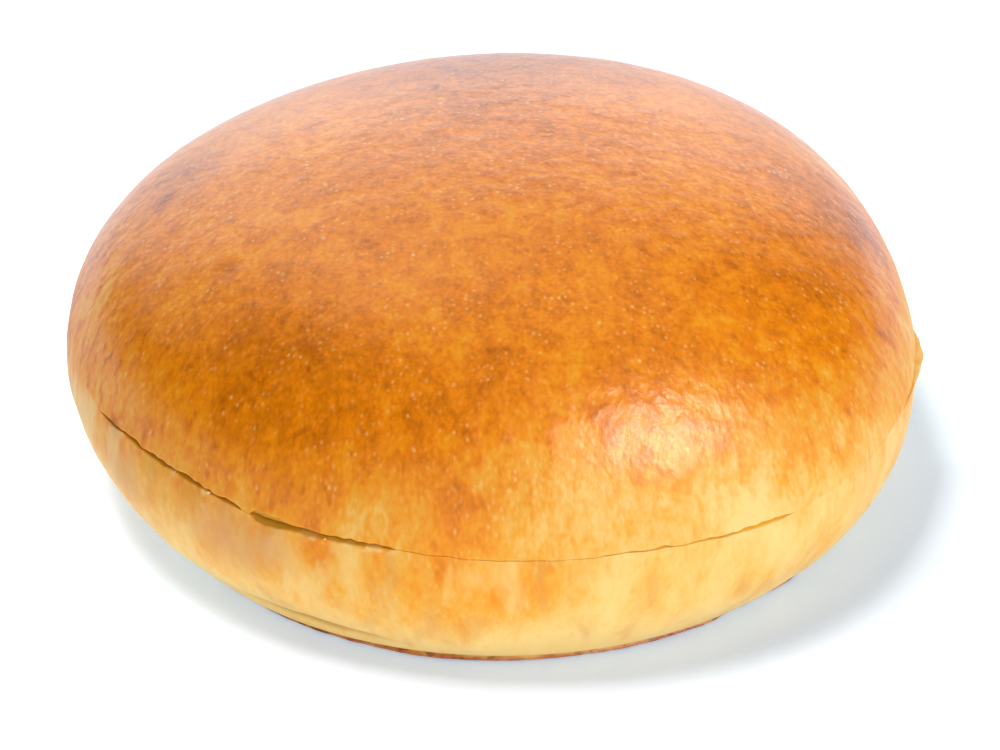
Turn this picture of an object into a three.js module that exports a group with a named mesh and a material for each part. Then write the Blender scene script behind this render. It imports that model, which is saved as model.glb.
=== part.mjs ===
// A round, glazed, soft bread roll for a burger, baked on a flat tray and sliced.
// It is two pieces that rest together: the domed crown above the cut and the heel below it.
// Millimetres, +Z up. The origin is the middle of the underside, and -Y is the side where the cut gapes.
import * as THREE from "three";
import { mergeVertices } from "three/addons/utils/BufferGeometryUtils.js";

const { lerp, smoothstep, degToRad, radToDeg } = THREE.MathUtils;

// Driving dimensions
const diameter = 110; // mean width of the widest ring
const height = 46.1; // tray to the middle of the dome's top
const widestHeight = 15.4; // tray to the widest ring
const footDiameter = 94; // mean width of the flat underside
const segments = 120; // facets round the roll

// The slicing cut is a flat plane that sinks a little to the right and to the front
const cut = { height: 19.5, slopeX: -0.025, slopeY: 0.022, gap: 0.4 };

// The dome: a power of 2 is a plain ellipse, and more is squarer
const dome = {
  power: 2.13,
  fullerLeft: 0.077, // share by which the left is squarer, and the right less so
  lean: { x: 0.6, y: -1.4 }, // moves the top
  rise: { x: 0.043, y: -0.066 }, // lifts one side by a share of the dome's height
};

// The side below the widest ring, which draws in to the foot
const side = { power: 1.91, footPower: 1.25, footShift: { x: 0.3, y: -0.3 } };

// The dough grew unevenly. Each lobe swells a radius by a share of it, in so many waves round,
// with its first crest in a direction given in degrees
const outlineLobes = [
  { waves: 2, share: 0.003, direction: 71 },
  { waves: 3, share: 0.0225, direction: 64 },
  { waves: 4, share: 0.0093, direction: -30 },
];
const footLobes = [{ waves: 2, share: 0.0345, direction: 92 }];
const backCalm = 0.5; // how much more evenly the back rose
const centring = { x: 0.7, y: -0.25 }; // brings the middle of the uneven outline over the origin

// Where the cut gapes at its rim: each stretch runs between two directions and opens by so much
const gapes = [
  { from: 203, to: 234, open: 0.3 },
  { from: 235, to: 242, open: 1.1 },
  { from: 240, to: 256, open: 0.4 },
];
const gapeUpward = 0.7; // share of the opening that the crown's edge gives

// The foot: a thin browned skirt that the tray spread, under a shallow crease
const skirt = { out: 0.55, tall: 0.4, crease: 1.4 };

// A small ear of crust that the blade pulled out of the heel's rim
const ear = { direction: 351, spread: 6, out: 1.1 };

// The crust's edges at the cut are rounded, and the cut faces are flat inside them
const rim = { bevel: 0.4, flatShare: 0.85 };

const crownSteps = 16; // rows of facets from the cut to the top
const sideSteps = 7; // rows from the crease to the widest ring
const heelRimSteps = 3; // rows from the widest ring to the cut

const radius = diameter / 2;
const footRadius = footDiameter / 2;
const domeHeight = height - widestHeight;

// The factor by which a set of lobes changes a radius in one direction
function swell(lobes, azimuth) {
  const shares = lobes.map(({ waves, share, direction }) => {
    return share * Math.cos(waves * (azimuth - degToRad(direction)));
  });
  const calm = 1 - backCalm * smoothstep(Math.sin(azimuth), 0, 1);
  return 1 + calm * shares.reduce((sum, share) => sum + share, 0);
}

// A point of the skin above the widest ring, where climb is 0 at the ring and 1 at the top
function domePoint(azimuth, climb) {
  const power = dome.power * (1 - dome.fullerLeft * Math.cos(azimuth));
  const share = Math.max(0, 1 - climb ** power) ** (1 / power);
  const x = share * Math.cos(azimuth);
  const y = share * Math.sin(azimuth);
  const reach = radius * swell(outlineLobes, azimuth);
  return new THREE.Vector3(
    dome.lean.x * (1 - share) + reach * x,
    dome.lean.y * (1 - share) + reach * y,
    widestHeight + domeHeight * climb * (1 + dome.rise.x * x + dome.rise.y * y),
  );
}

// A point of the skin between the foot and the widest ring
function sidePoint(azimuth, z) {
  const drop = 1 - z / widestHeight;
  const share = (1 - drop ** side.power) ** (1 / side.footPower);
  const foot = footRadius * swell(footLobes, azimuth);
  const reach = lerp(foot, radius * swell(outlineLobes, azimuth), share);
  return new THREE.Vector3(
    side.footShift.x * (1 - share) + reach * Math.cos(azimuth),
    side.footShift.y * (1 - share) + reach * Math.sin(azimuth),
    z,
  );
}

// A point of the underside or its skirt, so far beyond the foot's edge
function footPoint(azimuth, share, beyond, z) {
  const point = sidePoint(azimuth, 0);
  const reach = point.length();
  return point.multiplyScalar((share * reach + beyond) / reach).setZ(z);
}

function cutHeightAt(x, y) {
  return cut.height + cut.slopeX * x + cut.slopeY * y;
}

// The climb at which the dome's skin lies so far above the middle of the cut
function climbAboveCut(azimuth, above) {
  const x = Math.cos(azimuth);
  const y = Math.sin(azimuth);
  const rise = 1 + dome.rise.x * x + dome.rise.y * y;
  return (cutHeightAt(radius * x, radius * y) + above - widestHeight) / (domeHeight * rise);
}

// Extra opening of the cut at its rim, with soft ends
function gape(azimuth) {
  const softEnd = 1.5;
  const degrees = radToDeg(azimuth);
  const openings = gapes.map(({ from, to, open }) => {
    const inside = Math.min(degrees - from, to - degrees);
    return open * smoothstep(inside, 0, softEnd);
  });
  return Math.max(...openings);
}

// The ear's reach beyond the rim
function earReach(azimuth) {
  const away = Math.abs(radToDeg(azimuth) - ear.direction);
  return ear.out * Math.max(0, 1 - away / ear.spread);
}

// A point of a cut face, at a share of the way from the axis to the skin, inside an edge
function facePoint(azimuth, share, edge, above) {
  const rimPoint = domePoint(azimuth, climbAboveCut(azimuth, above));
  const reach = Math.hypot(rimPoint.x, rimPoint.y);
  const point = rimPoint.multiplyScalar((share * (reach - edge)) / reach);
  return point.setZ(cutHeightAt(point.x, point.y) + above);
}

// Turns a closed skin from its rows, which are functions from a direction to a point.
// The first and the last row stay on the axis
function turnSkin(rows) {
  const last = rows.length - 1;
  const profile = rows.map((row, i) => new THREE.Vector2(i % last === 0 ? 0 : 1, i));
  const geometry = new THREE.LatheGeometry(profile, segments);
  geometry.deleteAttribute("normal");
  geometry.deleteAttribute("uv");
  const positions = geometry.getAttribute("position");
  for (let i = 0; i < positions.count; i += 1) {
    const column = Math.floor(i / rows.length) % segments;
    const point = rows[i % rows.length]((2 * Math.PI * column) / segments);
    positions.setXYZ(i, point.x, point.y, point.z);
  }
  const closed = mergeVertices(geometry, 1e-4);
  closed.computeVertexNormals();
  return closed;
}

// Crown: the dome above the cut
function crownRows() {
  const floor = cut.gap / 2;
  const edgeOf = (azimuth) => floor + gapeUpward * gape(azimuth);
  const rows = [
    (azimuth) => facePoint(azimuth, 0, rim.bevel, floor),
    (azimuth) => facePoint(azimuth, rim.flatShare, rim.bevel, floor),
    (azimuth) => facePoint(azimuth, 1, rim.bevel, edgeOf(azimuth)),
  ];
  for (let i = 0; i <= crownSteps; i += 1) {
    rows.push((azimuth) => {
      const start = Math.asin(climbAboveCut(azimuth, edgeOf(azimuth) + rim.bevel));
      return domePoint(azimuth, Math.sin(lerp(start, Math.PI / 2, i / crownSteps)));
    });
  }
  return rows;
}

// Heel: from the flat underside up to the cut
function heelRows() {
  const top = -cut.gap / 2;
  const edgeOf = (azimuth) => top - (1 - gapeUpward) * gape(azimuth);
  const rows = [
    (azimuth) => footPoint(azimuth, 0, 0, 0),
    (azimuth) => footPoint(azimuth, 1, 0, 0),
    (azimuth) => footPoint(azimuth, 1, skirt.out, skirt.tall / 2),
    (azimuth) => footPoint(azimuth, 1, skirt.out, skirt.tall),
  ];
  for (let i = 0; i < sideSteps; i += 1) {
    const z = lerp(skirt.crease, widestHeight, i / sideSteps);
    rows.push((azimuth) => sidePoint(azimuth, z));
  }
  for (let i = 0; i <= heelRimSteps; i += 1) {
    const share = i / heelRimSteps;
    rows.push((azimuth) => {
      const point = domePoint(azimuth, share * climbAboveCut(azimuth, edgeOf(azimuth) - rim.bevel));
      const pulled = share * earReach(azimuth);
      return point.add(new THREE.Vector3(pulled * Math.cos(azimuth), pulled * Math.sin(azimuth), 0));
    });
  }
  rows.push(
    (azimuth) => facePoint(azimuth, 1, rim.bevel, edgeOf(azimuth)),
    (azimuth) => facePoint(azimuth, rim.flatShare, rim.bevel, top),
    (azimuth) => facePoint(azimuth, 0, rim.bevel, top),
  );
  return rows;
}

const crust = new THREE.MeshStandardMaterial({ color: 0xd9842e, roughness: 0.42, metalness: 0 });
const paleCrust = new THREE.MeshStandardMaterial({ color: 0xf0b763, roughness: 0.6, metalness: 0 });

const crown = new THREE.Mesh(turnSkin(crownRows()), crust);
crown.name = "crown";

const heel = new THREE.Mesh(turnSkin(heelRows()), paleCrust);
heel.name = "heel";

const roll = new THREE.Group();
roll.add(heel, crown);
roll.position.set(centring.x, centring.y, 0);

export default roll;
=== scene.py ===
import math
import random

import bpy
import numpy as np
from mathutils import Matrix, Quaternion, Vector, noise


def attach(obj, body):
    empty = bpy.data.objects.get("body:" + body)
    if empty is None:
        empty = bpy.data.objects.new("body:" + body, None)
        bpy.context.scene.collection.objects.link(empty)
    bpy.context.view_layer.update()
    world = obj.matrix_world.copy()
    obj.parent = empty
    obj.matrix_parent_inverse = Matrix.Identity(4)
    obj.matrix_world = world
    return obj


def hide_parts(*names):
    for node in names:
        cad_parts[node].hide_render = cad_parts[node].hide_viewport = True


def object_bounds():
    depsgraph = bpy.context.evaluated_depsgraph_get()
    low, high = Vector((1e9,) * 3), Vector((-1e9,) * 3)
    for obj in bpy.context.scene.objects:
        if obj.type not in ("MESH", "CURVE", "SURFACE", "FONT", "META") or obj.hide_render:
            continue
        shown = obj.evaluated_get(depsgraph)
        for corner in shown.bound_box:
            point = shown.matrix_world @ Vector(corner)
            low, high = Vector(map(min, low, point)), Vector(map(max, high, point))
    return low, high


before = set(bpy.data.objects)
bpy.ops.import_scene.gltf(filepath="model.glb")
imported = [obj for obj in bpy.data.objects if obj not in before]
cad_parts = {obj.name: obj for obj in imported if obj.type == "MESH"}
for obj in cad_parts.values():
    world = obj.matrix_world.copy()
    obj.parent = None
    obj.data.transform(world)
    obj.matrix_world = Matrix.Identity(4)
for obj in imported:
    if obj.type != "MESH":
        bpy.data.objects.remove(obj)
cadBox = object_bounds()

# A soft glazed burger roll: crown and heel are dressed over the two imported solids.
# Shapes are worked out in millimetres, -Y is the front, and directions run anticlockwise from +X.

rollShape = {
    "radius": 55.0,
    "height": 46.1,
    "widest": 15.4,
    "footRadius": 47.0,
    "domePower": 2.13,
    "fullerLeft": 0.077,
    "lean": (0.6, -1.4),
    "rise": (0.043, -0.066),
    "sidePower": 1.91,
    "footPower": 1.25,
    "footShift": (0.3, -0.3),
    "outlineLobes": [(2, 0.003, 71), (3, 0.0225, 64), (4, 0.0093, -30)],  # waves, share, first crest
    "footLobes": [(2, 0.0345, 92)],
    "backCalm": 0.5,
    "centring": (0.7, -0.25),
    "breadth": 110.24,  # of the whole in X, which ties these sizes to the frame
}

cut = {
    "height": 19.5,
    "slope": (-0.025, 0.022),
    "faceGap": 0.4,  # between the two cut faces, away from the rim
    "upward": 0.7,  # share of the rim's opening that the crown's edge gives
    "rounding": {"shut": 0.02, "open": 0.28, "between": (0.05, 0.5)},  # of the lips, by the opening
    # inside the rim: inset, how far the opening has closed, what gap is left, and the blade's straightening
    "throat": [(0.4, 0.5, 0.03, 0), (0.85, 1, 0.03, 0), (3.4, 1, 0.4, 0.7)],
    "flatInset": 4.6,  # where the flat of a cut face begins
    "openingGrain": (1.3, 0.9, 13),  # size, share and seed
    "wanderGrain": [(3.2, 0.16, 11), (1.1, 0.08, 12)],  # size, height and seed
    # direction and opening at the rim
    "openings": [
        (0, 0.10), (40, 0.16), (75, 0.08), (120, 0.18), (160, 0.06), (190, 0), (203.5, 0),
        (205.5, 0.26), (211, 0.33), (218, 0.42), (226, 0.39), (233.5, 0.36), (234.5, 0.05), (235.4, 0.05),
        (236, 1.25), (240, 1.2), (240.8, 0.72), (247, 0.6), (252, 0.46), (255, 0.3), (256.5, 0.06),
        (277, 0.06), (283, 0.1), (287, 0.16), (290, 0.3), (292.5, 0.14), (297, 0.2), (299, 0.32), (301, 0.24),
        (303, 0.42), (306, 0.36), (308, 0.3), (310, 0), (357, 0),
    ],
    # direction and how far the blade strayed from its plane
    "wander": [
        (0, 0), (60, 0.15), (110, -0.15), (160, 0.1), (198, 0), (205, -0.35), (213, 0.3), (222, 0.5),
        (231, 0.2), (238, -0.45), (243, -0.15), (257, 0.15), (268, 0), (280, -0.05), (286, 0.22),
        (294, 0), (307, -0.35), (318, 0), (332, 0.45), (345, 0.1),
    ],
}


def smooth(value, low, high):
    share = np.clip((value - low) / (high - low), 0, 1)
    return share * share * (3 - 2 * share)


def near(degrees, direction, reach):  # 1 in that direction, easing to 0 at the reach
    away = np.abs((degrees - direction + 180) % 360 - 180)
    return 1 - smooth(away, 0, reach)


def easedStops(degrees, stops):  # flat at each stop, and closed round the circle
    directions = np.array([stop[0] for stop in stops] + [stops[0][0] + 360])
    values = np.array([stop[1] for stop in stops] + [stops[0][1]])
    left = np.clip(np.searchsorted(directions, degrees % 360, side="right") - 1, 0, len(stops) - 1)
    share = smooth(degrees % 360, directions[left], directions[left + 1])
    return values[left] + (values[left + 1] - values[left]) * share


seedSteps = (17.3, 5.1, 9.7)  # keep one seed's noise clear of the next


def grain(points, size, seed):  # Perlin noise with features about this many millimetres across
    shift = Vector([seed * step for step in seedSteps])
    return np.array([noise.noise(Vector(point) / size + shift) for point in points.tolist()])


def relieved(points, layers):  # the sum of layers of grain, each with a size, a height and a seed
    return sum(height * grain(points, size, seed) for size, height, seed in layers)


def swell(lobes, azimuth):
    swells = [share * np.cos(waves * (azimuth - math.radians(crest))) for waves, share, crest in lobes]
    calm = 1 - rollShape["backCalm"] * smooth(np.sin(azimuth), 0, 1)
    return 1 + calm * sum(swells)


def outlineReach(azimuth):
    return rollShape["radius"] * swell(rollShape["outlineLobes"], azimuth)


def domePoints(azimuth, climb):  # climb is 0 at the widest ring and 1 at the top
    shape = rollShape
    power = shape["domePower"] * (1 - shape["fullerLeft"] * np.cos(azimuth))
    share = np.maximum(0, 1 - climb ** power) ** (1 / power)
    x = share * np.cos(azimuth)
    y = share * np.sin(azimuth)
    reach = outlineReach(azimuth)
    rise = 1 + shape["rise"][0] * x + shape["rise"][1] * y
    return np.stack([
        shape["lean"][0] * (1 - share) + reach * x,
        shape["lean"][1] * (1 - share) + reach * y,
        shape["widest"] + (shape["height"] - shape["widest"]) * climb * rise,
    ], axis=-1)


def sidePoints(azimuth, z):  # between the foot and the widest ring
    shape = rollShape
    drop = 1 - z / shape["widest"]
    share = (1 - drop ** shape["sidePower"]) ** (1 / shape["footPower"])
    foot = shape["footRadius"] * swell(shape["footLobes"], azimuth)
    reach = foot + (outlineReach(azimuth) - foot) * share
    return np.stack([
        shape["footShift"][0] * (1 - share) + reach * np.cos(azimuth),
        shape["footShift"][1] * (1 - share) + reach * np.sin(azimuth),
        z + 0 * azimuth,
    ], axis=-1)


def footPoints(azimuth, share, beyond, z):  # on the underside or its skirt
    points = sidePoints(azimuth, 0 * azimuth)
    reach = np.hypot(points[:, 0], points[:, 1])
    points *= ((share * reach + beyond) / reach)[:, None]
    points[:, 2] = z
    return points


def cutHeight(x, y, wander):
    return cut["height"] + cut["slope"][0] * x + cut["slope"][1] * y + wander


def climbAboveCut(azimuth, above, wander):
    x = np.cos(azimuth)
    y = np.sin(azimuth)
    rise = 1 + rollShape["rise"][0] * x + rollShape["rise"][1] * y
    radius = rollShape["radius"]
    z = cutHeight(radius * x, radius * y, wander) + above
    domeHeight = rollShape["height"] - rollShape["widest"]
    return (z - rollShape["widest"]) / (domeHeight * rise)


def facePoints(azimuth, inset, share, above, wander):  # on a cut face, inside its edge
    points = domePoints(azimuth, climbAboveCut(azimuth, above, wander))
    reach = np.hypot(points[:, 0], points[:, 1])
    points *= (share * (reach - inset) / reach)[:, None]
    points[:, 2] = cutHeight(points[:, 0], points[:, 1], wander) + above
    return points


class Skin:  # gathers the points and faces of one closed piece
    def __init__(self):
        self.blocks = []
        self.skinShare = []
        self.inside = []
        self.faces = []
        self.count = 0

    def add(self, points, skinShare, inside=0):  # inside is how many millimetres in from the rim it lies
        self.blocks.append(points)
        self.skinShare.append(np.broadcast_to(skinShare, len(points)).astype(float))
        self.inside.append(np.broadcast_to(inside, len(points)).astype(float))
        first = self.count
        self.count += len(points)
        return np.arange(first, self.count)

    def addDisc(self, rings, place, skinShare, facesUp, inside=0):
        # a square grid bent into a disc, so that the middle has no pole
        steps = np.arange(-rings, rings + 1)
        a, b = (grid.ravel() for grid in np.meshgrid(steps, steps, indexing="ij"))
        ring = np.maximum(abs(a), abs(b))
        wide = abs(a) >= abs(b)
        turn = np.where(wide, b / np.where(a == 0, 1, a), 2 - a / np.where(b == 0, 1, b)) * math.pi / 4
        turn = turn + math.pi * np.where(wide, a < 0, b < 0)
        turn = turn % (2 * math.pi)
        marks = self.add(place(turn, ring / rings), skinShare, inside).reshape(2 * rings + 1, -1)
        corners = [marks[:-1, :-1], marks[1:, :-1], marks[1:, 1:], marks[:-1, 1:]]
        quads = np.stack([corner.ravel() for corner in corners], axis=1)
        self.faces += (quads if facesUp else quads[:, ::-1]).tolist()
        edge = np.flatnonzero(ring == rings)
        order = np.argsort(np.round(turn[edge], 9), kind="stable")
        return marks.ravel()[edge[order]]

    def bridge(self, lower, upper):  # faces outward when upper is above lower
        nextLower = np.roll(lower, -1)
        nextUpper = np.roll(upper, -1)
        self.faces += np.stack([lower, nextLower, nextUpper, upper], axis=1).tolist()

    def thin(self, fine, coarse, facesUp):  # two points of the fine ring to one of the coarse
        outer = np.append(fine, fine[0])
        inner = np.append(coarse, coarse[0])
        for k in range(len(coarse)):
            first, middle, last = outer[2 * k:2 * k + 3].tolist()
            here, after = inner[k:k + 2].tolist()
            for face in ([first, middle, here], [middle, after, here], [middle, last, after]):
                self.faces.append(face if facesUp else face[::-1])

    def build(self, name):
        self.points = np.concatenate(self.blocks)
        self.share = np.concatenate(self.skinShare)
        self.depth = np.concatenate(self.inside)
        mesh = bpy.data.meshes.new(name)
        mesh.from_pydata(self.points.tolist(), [], self.faces)
        piece = bpy.data.objects.new(name, mesh)
        bpy.context.scene.collection.objects.link(piece)
        mesh.shade_smooth()
        return piece

    def normals(self, piece):
        values = np.zeros(self.count * 3)
        piece.data.vertices.foreach_get("normal", values)
        return values.reshape(-1, 3)

    def settle(self, piece, points):  # centres the shape, and turns it into the frame's metres
        shift = np.array([*rollShape["centring"], 0])
        piece.data.vertices.foreach_set("co", ((points + shift) * metresPerMillimetre).ravel())
        piece.data.update()


def mark(piece, name, values):  # a number at each point, which the finishes read
    layer = piece.data.attributes.new(name, "FLOAT", "POINT")
    layer.data.foreach_set("value", np.ascontiguousarray(values, dtype=np.float32))


def seat(piece, node, finish):
    piece.data.materials.append(finish)
    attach(piece, "root")
    if node:
        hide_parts(node)


# The finishes

class Wire:  # one socket, so that shader maths reads as plain sums
    def __init__(self, recipe, socket):
        self.recipe = recipe
        self.socket = socket

    def maths(self, operation, *values):
        sockets = dict(zip(("Value", "Value_001"), values))
        return self.recipe.node("ShaderNodeMath", {"operation": operation}, sockets)

    def __add__(self, other):
        return self.maths("ADD", self, other)

    def __radd__(self, other):
        return self.maths("ADD", other, self)

    def __sub__(self, other):
        return self.maths("SUBTRACT", self, other)

    def __rsub__(self, other):
        return self.maths("SUBTRACT", other, self)

    def __mul__(self, other):
        return self.maths("MULTIPLY", self, other)

    def __rmul__(self, other):
        return self.maths("MULTIPLY", other, self)

    def __abs__(self):
        return self.maths("ABSOLUTE", self)

    def ease(self, low, high):  # 0 below low, 1 above high
        settings = {"interpolation_type": "SMOOTHSTEP"}
        sockets = {"Value": self, "From Min": low, "From Max": high}
        return self.recipe.node("ShaderNodeMapRange", settings, sockets)


class Recipe:  # the nodes of one material or of the room
    def __init__(self, owner):
        owner.use_nodes = True
        self.owner = owner
        self.tree = owner.node_tree
        self.tree.nodes.clear()

    def node(self, kind, settings, sockets, take=None):
        made = self.tree.nodes.new(kind)
        for name, value in settings.items():
            if name == "stops":
                self.setStops(made.color_ramp, value)
            else:
                setattr(made, name, value)
        for name, value in sockets.items():
            socket = next(s for s in made.inputs if name in (s.identifier, s.name) and s.enabled)
            if isinstance(value, Wire):
                self.tree.links.new(value.socket, socket)
            else:
                socket.default_value = value
        outputs = [s for s in made.outputs if s.enabled and take in (None, s.identifier, s.name)]
        return Wire(self, outputs[0]) if outputs else None

    def setStops(self, ramp, stops):
        while len(ramp.elements) < len(stops):
            ramp.elements.new(0.5)
        for element, (position, colour) in zip(ramp.elements, stops):
            element.position = position
            element.color = (*colour, 1)

    def place(self):  # millimetres from the middle of the underside
        spot = self.node("ShaderNodeTexCoord", {}, {}, "Object")
        return self.node("ShaderNodeVectorMath", {"operation": "SCALE"}, {"Vector": spot, "Scale": 1000})

    def stretch(self, vector, height):  # draws what follows out, or presses it flat, in height
        sockets = {"Vector": vector, "Vector_001": (1, 1, height)}
        return self.node("ShaderNodeVectorMath", {"operation": "MULTIPLY"}, sockets)

    def part(self, vector, axis):
        return self.node("ShaderNodeSeparateXYZ", {}, {"Vector": vector}, axis)

    def cloud(self, vector, size, detail=2.0, twist=0.0):
        sockets = {"Vector": vector, "Scale": 1 / size, "Detail": detail, "Distortion": twist}
        return self.node("ShaderNodeTexNoise", {}, sockets, "Fac")

    def dots(self, vector, size, reach, share, strength):  # soft specks in this share of the cells
        sockets = {"Vector": vector, "Scale": 1 / size}
        away = self.node("ShaderNodeTexVoronoi", {"feature": "F1"}, sockets, "Distance")
        chance = Wire(self, away.socket.node.outputs["Color"])
        return (1 - away.ease(0, reach)) * self.part(chance, "X").ease(1 - share, 1) * strength

    def patch(self, vector, centre, reach):  # 1 at the centre, easing to 0 at the reach
        sockets = {"Vector": vector, "Vector_001": centre}
        away = self.node("ShaderNodeVectorMath", {"operation": "DISTANCE"}, sockets, "Value")
        return 1 - away.ease(0, reach)

    def bumped(self, relief):  # relief is in millimetres
        sockets = {"Strength": 1.0, "Distance": 0.001, "Height": relief}
        return self.node("ShaderNodeBump", {}, sockets)

    def marked(self, name):
        return self.node("ShaderNodeAttribute", {"attribute_name": name}, {}, "Fac")

    def tint(self, base, colour, mask):
        sockets = {"Factor_Float": mask, "A_Color": base, "B_Color": colour}
        return self.node("ShaderNodeMix", {"data_type": "RGBA"}, sockets, "Result_Color")

    def finishWith(self, sockets):
        surface = self.node("ShaderNodeBsdfPrincipled", {}, sockets)
        self.node("ShaderNodeOutputMaterial", {}, {"Surface": surface})
        return self.owner


def srgb(red, green, blue):  # from 0 to 255 into the linear values that a colour socket takes
    def linear(value):
        share = value / 255
        return share / 12.92 if share <= 0.04045 else ((share + 0.055) / 1.055) ** 2.4
    return (linear(red), linear(green), linear(blue), 1)


# How deep the crust is baked, from the cream of a shaded side to dark brown
bakeStops = [
    (0.00, srgb(247, 208, 126)[:3]),
    (0.20, srgb(246, 192, 96)[:3]),
    (0.35, srgb(245, 171, 50)[:3]),
    (0.50, srgb(245, 151, 14)[:3]),
    (0.62, srgb(236, 132, 5)[:3]),
    (0.75, srgb(213, 117, 4)[:3]),
    (0.88, srgb(192, 98, 4)[:3]),
    (1.00, srgb(140, 66, 6)[:3]),
]

crust = {
    "topBake": 0.6,
    "sideBake": 0.26,
    "rightPaler": 0.07,
    # the foot's paleness is partly its own paler crust and partly painted light bounced up from the table
    "footPalerAndLit": 0.24,
    "rightFrom": (-8, 14),  # X over which the right side turns paler
    "footEnds": (2, 9),  # heights over which the paler foot ends
    "browns": (8, 26),  # heights over which the left side browns
    "rightLater": 12,  # how much higher that is on the right
    "laterFrom": (-12, 6),  # X over which it rises by that much
    "rightmost": (28, 46),  # X over which it sinks again, by the next share
    "rightmostSooner": 0.4,
    "ragged": {"cloudy": 9, "blotch": 6},  # how far the browning strays up and down
    # how much each size of grain changes the bake, and its relief in millimetres
    "bakeGrain": {"cloudy": 0.2, "patchy": 0.16, "blotch": 0.34, "pebble": 0.36, "dust": 0.26},
    "reliefGrain": {"blotch": 0.22, "pebble": 0.055, "dust": 0.016, "glintFlecks": 0.02},
    "darkSpots": 0.1,
    "leftStreaks": 0.16,
    "leftEnds": (-51, -40),  # X over which those streaks fade out
    "sideGrain": 0.65,  # the side under the cut is smoother than the dome
    "domeStarts": (14, 22),  # heights over which it turns rougher
    # a pale tone, painted as glints where small blisters of the glaze catch the light
    "glintFleck": srgb(253, 200, 124),
}

# size, detail and twist of each grain
grains = {
    "cloudy": (10, 2, 0.6),
    "patchy": (5.5, 1, 0.3),
    "blotch": (2.8, 2, 0.2),
    "pebble": (1.1, 2, 0.1),
    "dust": (0.5, 1),
    "darkSpots": (1.3, 0.5),
    "leftStreaks": (1.3, 1),
    "threads": (0.9, 2, 0.3),
    "ripples": (0.55, 2),
    "sideStreaks": (4.6, 3, 0.3),
    "footEdge": (2.4, 2),
    "footSpots": (1.6, 2),
}

# the pale flecks, painted glints on the glaze's small blisters: size, how far each reaches in its cell, share
# of the cells, and strength
glintFleckSizes = {"small": (0.8, 0.44, 0.8, 0.7), "large": (1.6, 0.28, 0.6, 0.45)}

# where the glaze wrinkled as it dried
wrinkles = {"centre": (20, -45, 31), "reach": 17, "threads": 0.014, "ripples": 0.06, "swells": 0.25}

# where the crust is browner or paler: centre, reach and change of bake
bakePatches = [
    ((-26, -36, 33), 21, 0.15),
    ((-44, -30, 24), 13, -0.10),
    ((-36, -38, 22), 13, -0.09),
    ((-40, 6, 37), 11, 0.22),
    ((-51, -10, 28), 9, -0.20),
    ((-50, -22, 20), 14, -0.10),
    ((40, -20, 34), 17, 0.06),
    ((41, 2, 35), 16, 0.04),
    ((0, 30, 40), 31, 0.23),
    ((-2, 6, 45), 24, 0.11),
    ((34, 6, 39), 9, 0.08),
    ((47, 2, 31), 17, 0.15),
    ((50, -20, 22), 15, 0.10),
    ((-6, -45, 34), 9, 0.12),
    ((-13, -51, 22), 8, -0.26),
    ((-18, -48, 26), 7, -0.12),
    ((-23, -48, 14), 11, 0.04),
    ((0, -54, 12), 12, 0.07),
    ((8, -51, 4), 14, -0.19),
    ((24, -48, 6), 7, -0.08),
    ((36, -38, 26), 10, 0.06),
    ((-4, -53, 23), 7, 0.18),
    ((2, -55, 15), 13, 0.15),
    ((31, -47, 20), 8, -0.20),
    ((20, -47, 27), 13, 0.12),
    ((-5, -48, 31), 5, -0.12),
    ((-18, -50, 21), 5, -0.10),
    # the small ones at the end brown single spots, three of them along the gape on the left and one on the
    # crown's dent
    ((-48, -26, 20), 2.4, 0.26),
    ((-39, -38, 19), 2.4, 0.12),
    ((-38, -38, 23), 2.4, 0.14),
    ((-42, 1, 37), 4, 0.14),
    ((-33, -20, 39), 3, 0.16),
    ((1, -40, 39), 3.5, 0.10),
]


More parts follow.
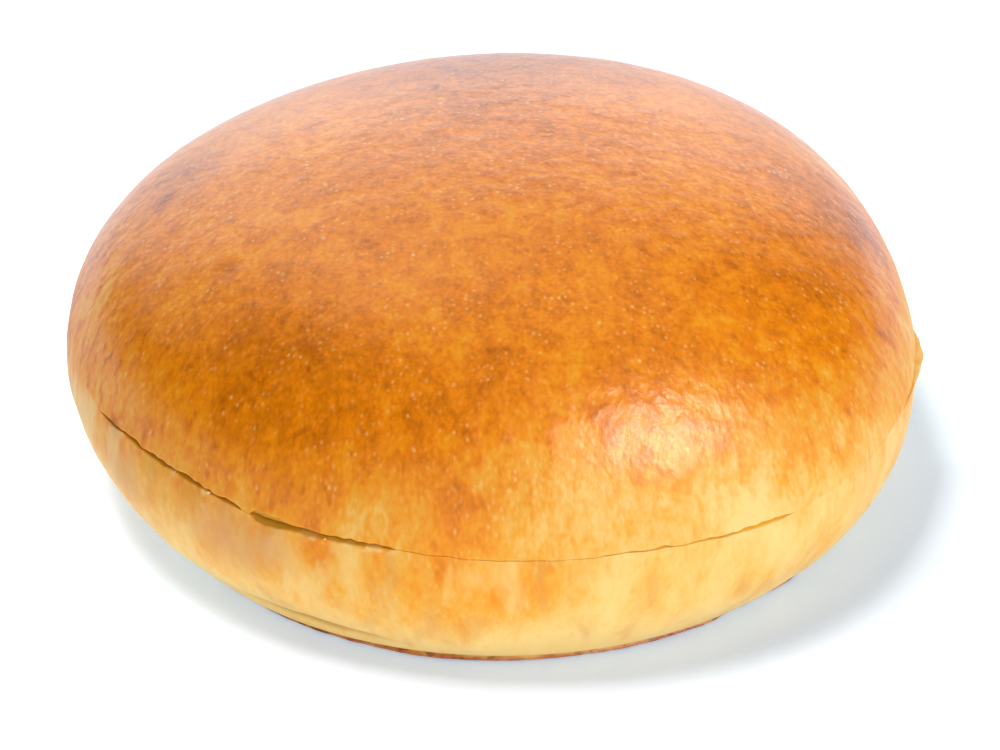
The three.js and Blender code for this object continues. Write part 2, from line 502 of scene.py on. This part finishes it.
def bakedCrust(recipe, spot):  # the same over the crown and the heel, so that it runs on across the cut
    height = recipe.part(spot, "Z")
    across = recipe.part(spot, "X")
    tall = recipe.stretch(spot, 0.5)
    cloudy = recipe.cloud(recipe.stretch(spot, 0.6), *grains["cloudy"])
    patchy, blotch, pebble, dust, dark = (
        recipe.cloud(tall, *grains[name]) for name in ("patchy", "blotch", "pebble", "dust", "darkSpots")
    )
    coarse = crust["sideGrain"] + height.ease(*crust["domeStarts"]) * (1 - crust["sideGrain"])

    sooner = across.ease(*crust["rightmost"]) * crust["rightmostSooner"]
    later = (across.ease(*crust["laterFrom"]) - sooner) * crust["rightLater"]
    ragged = crust["ragged"]
    stray = (cloudy - 0.5) * ragged["cloudy"] + (blotch - 0.5) * ragged["blotch"]
    risen = (height - later + stray).ease(*crust["browns"])
    side = crust["sideBake"] - across.ease(*crust["rightFrom"]) * crust["rightPaler"]
    # paler towards the foot: partly its own crust, partly painted bounce light from the table
    side = side - (1 - height.ease(*crust["footEnds"])) * crust["footPalerAndLit"]
    bake = side + (crust["topBake"] - side) * risen
    for centre, reach, change in bakePatches:
        bake = bake + recipe.patch(spot, centre, reach) * change

    share = crust["bakeGrain"]
    bake = bake + (cloudy - 0.5) * share["cloudy"] + (patchy - 0.5) * share["patchy"]
    fine = (blotch - 0.5) * share["blotch"] + (pebble - 0.5) * share["pebble"] + (dust - 0.5) * share["dust"]
    streaks = recipe.cloud(recipe.stretch(spot, 0.3), *grains["leftStreaks"]).ease(0.5, 0.66)
    leftStreaks = streaks * (1 - across.ease(*crust["leftEnds"]))
    fine = fine + dark.ease(0.58, 0.78) * crust["darkSpots"] + leftStreaks * crust["leftStreaks"]
    bake = bake + fine * coarse
    colour = recipe.node("ShaderNodeValToRGB", {"stops": bakeStops}, {"Fac": bake}, "Color")

    # the pale flecks are painted glints of the glaze's small blisters; the relief below bumps them too
    clusters = 0.35 + patchy.ease(0.4, 0.65) * 0.65
    glintFlecks = recipe.dots(tall, *glintFleckSizes["small"]) * clusters + recipe.dots(tall, *glintFleckSizes["large"])
    glintFlecks = glintFlecks * coarse
    colour = recipe.tint(colour, crust["glintFleck"], glintFlecks)

    threads = abs(recipe.cloud(spot, *grains["threads"]) - 0.5).ease(0, 0.06)
    ripples = recipe.cloud(recipe.stretch(spot, 0.35), *grains["ripples"])
    wrinkled = threads * wrinkles["threads"] + ripples * wrinkles["ripples"] + blotch * wrinkles["swells"]
    depth = crust["reliefGrain"]
    relief = (pebble * depth["pebble"] + dust * depth["dust"] + glintFlecks * depth["glintFlecks"]) * coarse
    relief = relief + blotch * depth["blotch"]
    relief = relief + wrinkled * recipe.patch(spot, wrinkles["centre"], wrinkles["reach"])
    return {"colour": colour, "relief": relief, "across": across}


# the slit's tones are painted shade: a darker olive-gold on the crumb inside the gap, darkest on the left
# where it gapes widest; the crumb and cream tones are the crumb's own colour
slitShadeAndCrumbTones = {
    "dark": srgb(208, 150, 40),  # in the gape on the left
    "light": srgb(240, 192, 70),
    "crumb": srgb(246, 208, 134),
    "cream": srgb(248, 208, 128),
}


# paints the slit's shade inside the gap, then the crumb's own colour deeper in
def paintSlitShadeAndCrumb(recipe, colour, baked):
    slit = recipe.tint(slitShadeAndCrumbTones["dark"], slitShadeAndCrumbTones["light"], baked["across"].ease(-32, 20))
    colour = recipe.tint(colour, slit, recipe.marked("slit"))
    return recipe.tint(colour, slitShadeAndCrumbTones["crumb"], recipe.marked("crumb"))


glaze = {
    "brushed": (18, 31),  # it was brushed on from above, and ends between these heights
    "roughness": 0.28,
    "lowerRoughness": 0.55,
    "crumbRougher": 0.3,
    "shine": 0.3,
    "coat": 0.12,
    "coatRoughness": 0.26,
}


def glazedCrust():
    recipe = Recipe(bpy.data.materials.new("glazedCrust"))
    spot = recipe.place()
    baked = bakedCrust(recipe, spot)
    unglazed = recipe.marked("slit") + recipe.marked("crumb")
    brushed = recipe.part(spot, "Z").ease(*glaze["brushed"])
    dull = glaze["lowerRoughness"] + (glaze["roughness"] - glaze["lowerRoughness"]) * brushed
    return recipe.finishWith({
        "Base Color": paintSlitShadeAndCrumb(recipe, baked["colour"], baked),
        "Roughness": dull + unglazed * glaze["crumbRougher"],
        "Specular IOR Level": glaze["shine"],
        "Coat Weight": glaze["coat"] * (1 - unglazed) * brushed,
        "Coat Roughness": glaze["coatRoughness"],
        "Normal": recipe.bumped(baked["relief"]),
    })


paleSide = {
    "roughness": 0.5,
    "crumbRougher": 0.3,
    "shine": 0.2,
    "coat": 0.1,
    "coatRoughness": 0.26,
    "paleStreak": srgb(251, 216, 136),
    "tanStreak": srgb(222, 152, 78),
    "streakHeight": 0.3,
    "footEdge": srgb(188, 112, 56),
    "footSpot": srgb(120, 58, 22),
    # a darker olive painted as shade in the shallow crease over the foot
    "crease": srgb(170, 120, 30),
}

# patches under the gape on the heel, the tan-pink ones painted sheen, the olive ones a fringe along the lip:
# centre, reach, share and colour
sheenAndLipPatches = [
    ((-34, -43, 14), 8, 0.65, srgb(226, 166, 104)),
    ((-28, -47, 15), 6, 0.55, srgb(222, 160, 100)),
    ((-47, -28, 14), 7, 0.5, srgb(226, 166, 104)),
    ((-43, -34, 18.8), 3, 0.4, srgb(214, 156, 44)),
    ((-37, -39, 18.4), 3, 0.4, srgb(214, 156, 44)),
]


def paleCrust():
    recipe = Recipe(bpy.data.materials.new("paleCrust"))
    spot = recipe.place()
    baked = bakedCrust(recipe, spot)
    colour = baked["colour"]
    streaks = recipe.cloud(recipe.stretch(spot, 0.4), *grains["sideStreaks"])
    colour = recipe.tint(colour, paleSide["paleStreak"], streaks.ease(0.48, 0.68) * 0.5)
    colour = recipe.tint(colour, paleSide["tanStreak"], (1 - streaks.ease(0.3, 0.47)) * 0.35)
    # paints the sheen patches and the olive fringe of the lip
    for centre, reach, share, patchTone in sheenAndLipPatches:
        colour = recipe.tint(colour, patchTone, recipe.patch(spot, centre, reach) * share)
    footEdge = 0.7 + recipe.cloud(spot, *grains["footEdge"]).ease(0.35, 0.6) * 0.3
    colour = recipe.tint(colour, paleSide["footEdge"], recipe.marked("foot") * footEdge)
    footSpots = recipe.cloud(recipe.stretch(spot, 2), *grains["footSpots"]).ease(0.5, 0.62)
    colour = recipe.tint(colour, paleSide["footSpot"], recipe.marked("foot") * footSpots * 0.7)
    # painted shade in the crease over the foot
    colour = recipe.tint(colour, paleSide["crease"], recipe.marked("crease") * 0.7)
    colour = paintSlitShadeAndCrumb(recipe, colour, baked)
    colour = recipe.tint(colour, slitShadeAndCrumbTones["cream"], recipe.marked("cream"))
    return recipe.finishWith({
        "Base Color": colour,
        "Roughness": paleSide["roughness"] + recipe.marked("crumb") * paleSide["crumbRougher"],
        "Specular IOR Level": paleSide["shine"],
        "Coat Weight": paleSide["coat"] * (1 - recipe.marked("crumb")),
        "Coat Roughness": paleSide["coatRoughness"],
        "Normal": recipe.bumped(baked["relief"] + streaks * paleSide["streakHeight"]),
    })


# The pieces

metresPerMillimetre = (cadBox[1].x - cadBox[0].x) / rollShape["breadth"]
columns = 960  # points round the skin; the cut faces have half as many

crownCrust = {
    "bandShare": 0.12,  # of the way up that the ring rows take before the grid takes over
    "bandRows": 20,
    "edgeRows": 4,
    "lumps": [(26, 0.16, 1), (8, 0.07, 2), (2.4, 0.035, 3)],  # size, height, seed
    "dents": [((-53.5, -16, 22.5), 1.3, 0.45), ((-33, -20, 39), 2.5, 0.12)],  # centre, reach, depth
    "poreSeed": 21,
}


def outwardAt(azimuth):
    return np.stack([np.cos(azimuth), np.sin(azimuth), 0 * azimuth], axis=1)


def openingAt(azimuth):
    ring = outwardAt(azimuth) * rollShape["radius"]
    return easedStops(np.degrees(azimuth), cut["openings"]) * (1 + relieved(ring, [cut["openingGrain"]]))


def wanderAt(azimuth):
    ring = outwardAt(azimuth) * rollShape["radius"]
    return easedStops(np.degrees(azimuth), cut["wander"]) + relieved(ring, cut["wanderGrain"])


def edgeRounding(azimuth):  # the lips are sharp where the cut is shut
    rounding = cut["rounding"]
    share = smooth(openingAt(azimuth), *rounding["between"])
    return rounding["shut"] + (rounding["open"] - rounding["shut"]) * share


def dented(points, dents):
    total = 0
    for centre, reach, depth in dents:
        away = np.linalg.norm(points - np.array(centre), axis=1)
        total = total - depth * (1 - smooth(away, 0, reach))
    return total


# how far inside the rim the slit's painted shade starts and ends, and the crumb's own colour starts
slitShadeAndCrumbDepths = {"starts": (0.02, 0.22), "ends": (1.5, 4.0), "crumb": (1.2, 3.0)}


def markSlitShadeAndCrumb(piece, depth):
    slit = smooth(depth, *slitShadeAndCrumbDepths["starts"]) * (1 - smooth(depth, *slitShadeAndCrumbDepths["ends"]))
    mark(piece, "slit", slit)
    mark(piece, "crumb", smooth(depth, *slitShadeAndCrumbDepths["crumb"]))


crumbPores = {"broad": (3.5, 0.5), "fine": (1.6, 0.7), "sparse": 0.1, "clearOfRim": (1, 3)}


def carveCrumb(points, seed):  # how deep the pores of a cut face go
    broadSize, broadDepth = crumbPores["broad"]
    fineSize, fineDepth = crumbPores["fine"]
    broad = np.clip(grain(points, broadSize, seed), 0, 1)
    fine = np.clip(grain(points, fineSize, seed + 1) - crumbPores["sparse"], 0, 1)
    turn = np.arctan2(points[:, 1], points[:, 0])
    inside = outlineReach(turn) * 0.99 - np.hypot(points[:, 0], points[:, 1])
    return (broadDepth * broad + fineDepth * fine) * smooth(inside, *crumbPores["clearOfRim"])


def makeCrown(finish):
    settings = crownCrust
    skin = Skin()
    azimuth = np.arange(columns) * 2 * math.pi / columns
    wander = wanderAt(azimuth)
    edge = cut["upward"] * openingAt(azimuth)
    rounding = edgeRounding(azimuth)

    def rimAngle(turn):
        stray = np.interp(turn, azimuth, wander, period=2 * math.pi)
        lift = np.interp(turn, azimuth, edge + rounding, period=2 * math.pi)
        return np.arcsin(climbAboveCut(turn, lift, stray))

    def onDome(turn, share):
        low = rimAngle(turn)
        bandTop = low + (math.pi / 2 - low) * settings["bandShare"]
        return domePoints(turn, np.sin(math.pi / 2 - share * (math.pi / 2 - bandTop)))

    rim = skin.addDisc(columns // 8, onDome, 1, True)
    low = rimAngle(azimuth)
    high = low + (math.pi / 2 - low) * settings["bandShare"]
    for row in range(1, settings["bandRows"] + 1):
        share = 1 - (1 - row / settings["bandRows"]) ** 1.5
        points = domePoints(azimuth, np.sin(high + (low - high) * share))
        below = skin.add(points, 1 - smooth(share, 0.75, 1))
        skin.bridge(below, rim)
        rim = below
    for row in range(1, settings["edgeRows"] + 1):
        angle = row / settings["edgeRows"] * math.pi / 2
        inset = rounding * (1 - math.cos(angle))
        above = edge + rounding * (1 - math.sin(angle))
        below = skin.add(facePoints(azimuth, inset, 1, above, wander), 0, inset)
        skin.bridge(below, rim)
        rim = below
    floor = cut["faceGap"] / 2
    for inset, share, gap, straight in cut["throat"]:
        above = edge + (gap / 2 - edge) * share
        below = skin.add(facePoints(azimuth, inset, 1, above, wander * (1 - straight)), 0, inset)
        skin.bridge(below, rim)
        rim = below

    def onFace(turn, share):
        return facePoints(turn, cut["flatInset"], share, floor, 0)

    face = skin.addDisc(columns // 16, onFace, 0, False, cut["flatInset"])
    skin.thin(rim, face, False)
    piece = skin.build("crownCrust")
    normals = skin.normals(piece)
    points = skin.points
    relief = relieved(points, settings["lumps"]) + dented(points, settings["dents"])
    isFace = (skin.share == 0) & (normals[:, 2] < -0.9)
    moved = points + normals * (relief * skin.share)[:, None]
    moved[:, 2] += np.where(isFace, carveCrumb(points, settings["poreSeed"]), 0)
    skin.settle(piece, moved)
    markSlitShadeAndCrumb(piece, skin.depth)
    seat(piece, "crown", finish)
    print("crown crust:", len(piece.data.polygons), "faces")


heelCrust = {
    "sideRows": 46,
    "rimRows": 10,
    "edgeRows": 4,
    # direction and how far the tray spread the foot's edge
    "skirt": [
        (0, 0.5), (150, 0.45), (222, 0.45), (232, 0.6), (250, 0.55), (257, 0.75), (280, 0.55), (290, 0.75),
        (302, 0.85), (305, 0.55), (310, 0.6), (316, 1.3), (326, 1.2), (345, 0.6),
    ],
    "skirtGrain": (2.2, 0.14, 15),  # size, height, seed
    # share of that spread, and height, from the tray up to the crease
    "skirtRows": [(-0.1, 0), (0.75, 0.05), (1, 0.2), (0.95, 0.38), (0.55, 0.6), (0.4, 0.95), (-0.25, 1.2)],
    "crease": 1.4,
    # direction, reach in degrees and strength of the pale bits on the lip
    "creamBits": [
        (222, 1, 0.5), (228, 2, 0.7), (246, 6, 0.5), (254, 5, 0.6), (274, 4, 0.8), (286, 3, 1.0),
        (290, 2, 0.6), (299, 3, 0.5), (332, 2, 0.8), (336, 2, 0.8),
    ],
    "ear": [(336, 0), (343, 0.25), (348, 0.7), (351, 1.0), (354, 0.6), (358, 0)],  # direction and reach
    "lumps": [(24, 0.16, 5), (7, 0.1, 6), (2.2, 0.04, 7)],
    "folds": [(5.5, 0.22, 8)],
    "foldStretch": 0.25,
    # the shallow crease over the foot, and how the side draws in there
    "groove": {
        "direction": 243, "reach": 17, "height": 2.9, "depth": 0.2,
        "wander": (6, 0.4, 43), "wall": (0.1, 0.55),
    },
    "tuck": {"direction": 239, "reach": 24, "depth": 0.55, "between": (1.4, 10)},
    "dents": [((10, -54.3, 18), 0.8, 0.5), ((-1, -55, 16.6), 0.7, 0.16), ((-1, -55, 15.6), 0.7, 0.16)],
    "lip": {"below": (0.5, 1.1), "inside": (0.3, 0.8), "grain": (0.9, 1, 41), "torn": (-0.15, 0.15)},
    # the browned edge: its height, where it is taller, and the share of it that shows at the back
    "foot": {
        "height": 0.6, "grain": (2.5, 0.15, 42), "taller": 0.35, "direction": 245, "reach": 20,
        "fade": (-0.15, 0.2), "behind": 0.3, "front": (215, 228, 318, 330),
    },
    "poreSeed": 31,
}


def lipBits(skin, turn, wander):  # where pale bits of crumb show on the heel's lip
    lip = heelCrust["lip"]
    x, y, z = skin.points.T
    edge = (1 - smooth(cutHeight(x, y, wander) - z, *lip["below"])) * (1 - smooth(skin.depth, *lip["inside"]))
    bits = 0
    for direction, reach, strength in heelCrust["creamBits"]:
        bits = bits + strength * near(turn, direction, reach)
    torn = smooth(relieved(skin.points, [lip["grain"]]), *lip["torn"])
    return edge * (z > rollShape["widest"]) * np.clip(bits, 0, 1) * torn


def brownedFoot(points, turn):  # where the tray browned the edge
    foot = heelCrust["foot"]
    top = foot["height"] + foot["taller"] * near(turn, foot["direction"], foot["reach"])
    top = top + relieved(points, [foot["grain"]])
    left, leftEnd, right, rightEnd = foot["front"]
    front = smooth(turn, left, leftEnd) * (1 - smooth(turn, right, rightEnd))
    browned = 1 - smooth(points[:, 2] - top, *foot["fade"])
    return browned * (foot["behind"] + (1 - foot["behind"]) * front)


def makeHeel(finish):
    settings = heelCrust
    skin = Skin()
    azimuth = np.arange(columns) * 2 * math.pi / columns
    wander = wanderAt(azimuth)
    edge = -(1 - cut["upward"]) * openingAt(azimuth)
    rounding = edgeRounding(azimuth)
    degrees = np.degrees(azimuth)
    outward = outwardAt(azimuth)

    def onUnderside(turn, share):
        return footPoints(turn, share * 0.97, 0, 0)

    underside = skin.addDisc(columns // 16, onUnderside, 0, False)
    rim = skin.add(footPoints(azimuth, 0.99, 0, 0), 0)
    skin.thin(rim, underside, False)
    ragged = easedStops(degrees, settings["skirt"])
    ragged = ragged + relieved(outward * rollShape["radius"], [settings["skirtGrain"]])
    for out, z in settings["skirtRows"]:
        above = skin.add(footPoints(azimuth, 1, ragged * out, z), 0)
        skin.bridge(rim, above)
        rim = above
    rows = settings["sideRows"]
    widest = rollShape["widest"]
    for row in range(rows):
        z = settings["crease"] + (widest - settings["crease"]) * row / rows
        above = skin.add(sidePoints(azimuth, z + 0 * azimuth), smooth(row, 0, 6))
        skin.bridge(rim, above)
        rim = above
    pull = easedStops(degrees, settings["ear"])
    for row in range(settings["rimRows"] + 1):
        share = 1 - (1 - row / settings["rimRows"]) ** 1.7
        climb = climbAboveCut(azimuth, edge - rounding, wander) * share
        points = domePoints(azimuth, climb) + outward * (pull * share ** 1.5)[:, None]
        above = skin.add(points, 1 - smooth(share, 0.6, 1))
        skin.bridge(rim, above)
        rim = above
    for row in range(1, settings["edgeRows"] + 1):
        angle = row / settings["edgeRows"] * math.pi / 2
        inset = rounding * (1 - math.cos(angle))
        points = facePoints(azimuth, inset, 1, edge - rounding * (1 - math.sin(angle)), wander)
        pulled = pull * (1 - 0.7 * row / settings["edgeRows"])
        above = skin.add(points + outward * pulled[:, None], 0, inset)
        skin.bridge(rim, above)
        rim = above
    ceiling = -cut["faceGap"] / 2
    for inset, share, gap, straight in cut["throat"]:
        height = edge + (-gap / 2 - edge) * share
        above = skin.add(facePoints(azimuth, inset, 1, height, wander * (1 - straight)), 0, inset)
        skin.bridge(rim, above)
        rim = above

    def onFace(turn, share):
        return facePoints(turn, cut["flatInset"], share, ceiling, 0)

    face = skin.addDisc(columns // 16, onFace, 0, True, cut["flatInset"])
    skin.thin(rim, face, True)
    piece = skin.build("heelCrust")
    normals = skin.normals(piece)
    points = skin.points
    height = points[:, 2]
    turn = np.degrees(np.arctan2(points[:, 1], points[:, 0])) % 360
    relief = relieved(points, settings["lumps"]) + dented(points, settings["dents"])
    relief += relieved(points * np.array([1, 1, settings["foldStretch"]]), settings["folds"])
    tuck = settings["tuck"]
    drawn = near(turn, tuck["direction"], tuck["reach"]) * (1 - smooth(height, *tuck["between"]))
    groove = settings["groove"]
    away = abs(height - groove["height"] - relieved(points, [groove["wander"]]))
    # the crease's mask carves the groove and is also painted as shade in the heel's finish
    groovedAndShaded = (1 - smooth(away, *groove["wall"])) * near(turn, groove["direction"], groove["reach"])
    relief -= tuck["depth"] * drawn + groove["depth"] * groovedAndShaded
    isFace = (skin.share == 0) & (normals[:, 2] > 0.9) & (height > widest)
    moved = points + normals * (relief * skin.share)[:, None]
    moved[:, 2] -= np.where(isFace, carveCrumb(points, settings["poreSeed"]), 0)
    skin.settle(piece, moved)
    onEar = smooth(easedStops(turn, settings["ear"]), 0, 0.4)
    markSlitShadeAndCrumb(piece, skin.depth * (1 - 0.9 * onEar))
    mark(piece, "cream", lipBits(skin, turn, np.interp(turn, degrees, wander, period=360)))
    mark(piece, "foot", brownedFoot(points, turn))
    mark(piece, "crease", groovedAndShaded)
    seat(piece, "heel", finish)
    print("heel crust:", len(piece.data.polygons), "faces")


lipCrumbs = {
    "seed": 5,
    # direction, spread, and how much larger the first one is
    "places": [
        (222, 3, 1), (228.5, 1, 2.4), (246, 7, 1), (255, 6, 1),
        (274, 5, 1), (286, 4, 1), (299, 4, 1), (334, 3, 1),
    ],
    "perPlace": 2,
    "size": (0.08, 0.18),
    "ringSteps": 8,
    "rows": 5,
}


def makeLipCrumbs(finish):  # torn bits of crumb that hang on the heel's lip
    settings = lipCrumbs
    dice = random.Random(settings["seed"])
    points = []
    faces = []
    steps = settings["ringSteps"]
    rows = settings["rows"]
    for direction, spread, larger in settings["places"]:
        for crumb in range(settings["perPlace"]):
            azimuth = np.array([math.radians(direction + dice.uniform(-spread, spread) / 2)])
            edge = -(1 - cut["upward"]) * openingAt(azimuth)
            middle = facePoints(azimuth, dice.uniform(0.02, 0.2), 1, edge - 0.05, wanderAt(azimuth))[0]
            size = dice.uniform(*settings["size"]) * (larger if crumb == 0 else 1)
            first = len(points)
            lean = dice.uniform(0.6, 1.0)
            for row in range(rows + 1):
                tilt = math.pi * (row + 0.02) / (rows + 0.04)
                for step in range(steps):
                    around = 2 * math.pi * step / steps
                    bump = size * dice.uniform(0.8, 1.15)
                    reach = math.sin(tilt) * bump
                    rise = lean * math.cos(tilt) * bump
                    offset = (reach * math.cos(around), reach * math.sin(around), rise)
                    points.append(middle + np.array(offset))
            for row in range(rows):
                for step in range(steps):
                    here = first + row * steps + step
                    after = first + row * steps + (step + 1) % steps
                    faces.append([here, here + steps, after + steps, after])
            faces.append([first + step for step in range(steps)])
            faces.append([first + rows * steps + step for step in reversed(range(steps))])
    skin = Skin()
    skin.add(np.array(points), 0)
    skin.faces = faces
    piece = skin.build("lipCrumbs")
    skin.settle(piece, skin.points)
    seat(piece, None, finish)
    print("lip crumbs:", len(faces), "faces")


def crumbFinish():
    recipe = Recipe(bpy.data.materials.new("lipCrumb"))
    mottle = recipe.cloud(recipe.place(), 0.6).ease(0.3, 0.7)
    colour = recipe.tint(slitShadeAndCrumbTones["crumb"], slitShadeAndCrumbTones["cream"], mottle)
    return recipe.finishWith({"Base Color": colour, "Roughness": 0.85})


# Camera, floor and light

photoView = {
    "elevation": 32.1,
    "distance": 0.66,
    "aimAt": (0.00066, -0.00025, 0.01046),
    "roll": -0.76,
    "lens": 183.2,
}


def placeCamera():
    data = bpy.data.cameras.new("photoCamera")
    data.lens = photoView["lens"]
    data.clip_start = 0.05
    camera = bpy.data.objects.new("photoCamera", data)
    bpy.context.scene.collection.objects.link(camera)
    tilt = math.radians(photoView["elevation"])
    towardCamera = Vector((0, -math.cos(tilt), math.sin(tilt)))
    camera.location = Vector(photoView["aimAt"]) + towardCamera * photoView["distance"]
    camera.rotation_mode = "QUATERNION"
    lookDown = Quaternion((1, 0, 0), math.pi / 2 - tilt)
    camera.rotation_quaternion = lookDown @ Quaternion((0, 0, 1), math.radians(photoView["roll"]))
    bpy.context.scene.camera = camera


# each soft box: direction, elevation, distance, width, height, brightness, tint,
# whether it gives colour or gloss, and what it lights
softBoxes = {
    "overhead": (50, 80, 1.2, 1.6, 1.4, 0.5, (1, 1, 1), "colour", "roll"),
    "backLeft": (122, 58, 1.2, 0.5, 0.5, 7.2, (0.92, 0.98, 0.97), "colour", "roll"),
    "frontFill": (270, 16, 1.0, 1.6, 0.8, 1.65, (1, 0.92, 0.83), "colour", "roll"),
    "rightFill": (345, 22, 0.9, 0.7, 0.6, 1.2, (1, 0.92, 0.83), "colour", "roll"),
    "rightFront": (322, 35, 0.8, 0.34, 0.3, 5.0, (1, 0.94, 0.87), "colour", "roll"),
    "glint": (315.5, 37.5, 0.78, 0.36, 0.44, 11.0, (1, 0.94, 0.97), "gloss", "roll"),
    "spill": (308, 33, 0.85, 0.7, 0.7, 3.4, (1, 0.94, 0.95), "gloss", "roll"),
    "crownSheen": (92, 70, 1.2, 1.4, 0.7, 0.6, (1, 0.96, 0.94), "gloss", "roll"),
    "leftSheen": (138, 36, 1.2, 1.0, 0.9, 0.6, (1, 0.96, 0.96), "gloss", "roll"),
    "tableTop": (170, 75, 1.2, 0.42, 0.42, 20.2, (1, 1, 1), "colour", "table"),
}
# the room is dark on the camera's side and bright behind the roll, a little to the left
room = {
    "direction": 95,
    "elevation": 10,
    "dark": 0.01,
    "bright": 2.6,
    "from": 0.62,
    "to": 1.08,
    "tint": (0.9, 0.94, 0.98, 1),
}


def linked(table, state):  # a group that takes in the table alone, or leaves it out
    group = bpy.data.collections.new("table" + state.title())
    group.objects.link(table)
    group.collection_objects[0].light_linking.link_state = state
    return group


def lightTheTable(table):
    groups = {"table": linked(table, "INCLUDE"), "roll": linked(table, "EXCLUDE")}
    for name, box in softBoxes.items():
        direction, elevation, distance, width, height, brightness, tint, gives, lit = box
        data = bpy.data.lights.new(name, "AREA")
        data.shape = "ELLIPSE" if gives == "gloss" else "RECTANGLE"
        data.size = width
        data.size_y = height
        data.energy = brightness * math.pi * width * height
        data.color = tint
        lamp = bpy.data.objects.new(name, data)
        bpy.context.scene.collection.objects.link(lamp)
        turn = math.radians(direction)
        tilt = math.radians(elevation)
        away = Vector((math.cos(tilt) * math.cos(turn), math.cos(tilt) * math.sin(turn), math.sin(tilt)))
        lamp.location = away * distance
        lamp.rotation_mode = "QUATERNION"
        lamp.rotation_quaternion = away.to_track_quat("Z", "Y")
        lamp.visible_glossy = gives == "gloss"
        lamp.visible_diffuse = gives == "colour"
        lamp.light_linking.receiver_collection = groups[lit]
    recipe = Recipe(bpy.data.worlds.new("paleRoom"))
    toward = recipe.node("ShaderNodeTexCoord", {}, {}, "Generated")
    turn = math.radians(room["direction"])
    tilt = math.radians(room["elevation"])
    middle = (math.cos(tilt) * math.cos(turn), math.cos(tilt) * math.sin(turn), math.sin(tilt))
    facing = {"Vector": toward, "Vector_001": middle}
    behind = recipe.node("ShaderNodeVectorMath", {"operation": "DOT_PRODUCT"}, facing, "Value")
    behind = behind.ease(room["from"], room["to"])
    glow = room["dark"] + (room["bright"] - room["dark"]) * behind
    background = recipe.node("ShaderNodeBackground", {}, {"Color": room["tint"], "Strength": glow})
    recipe.node("ShaderNodeOutputWorld", {}, {"Surface": background})
    bpy.context.scene.world = recipe.owner
    bpy.context.scene.view_settings.view_transform = "Standard"


paleTable = {
    "half": 3.0,
    "drop": 0.0001,  # how far it lies under the roll
    "colour": srgb(246, 246, 247),
    "roughness": 0.9,
    "glow": (0.28, 0.42, 0.57, 1),  # a cool light from below, which lifts the shadow
}


def layTable():
    half = paleTable["half"]
    mesh = bpy.data.meshes.new("paleTable")
    corners = [(-half, -half, 0), (half, -half, 0), (half, half, 0), (-half, half, 0)]
    mesh.from_pydata(corners, [], [(0, 1, 2, 3)])
    table = bpy.data.objects.new("paleTable", mesh)
    bpy.context.scene.collection.objects.link(table)
    table.location.z = cadBox[0].z - paleTable["drop"]
    recipe = Recipe(bpy.data.materials.new("paleTable"))
    mesh.materials.append(recipe.finishWith({
        "Base Color": paleTable["colour"],
        "Roughness": paleTable["roughness"],
        "Emission Color": paleTable["glow"],
        "Emission Strength": 1.0,
    }))
    return table


placeCamera()
lightTheTable(layTable())
print("camera, table and light are in place")
makeCrown(glazedCrust())
makeHeel(paleCrust())
makeLipCrumbs(crumbFinish())
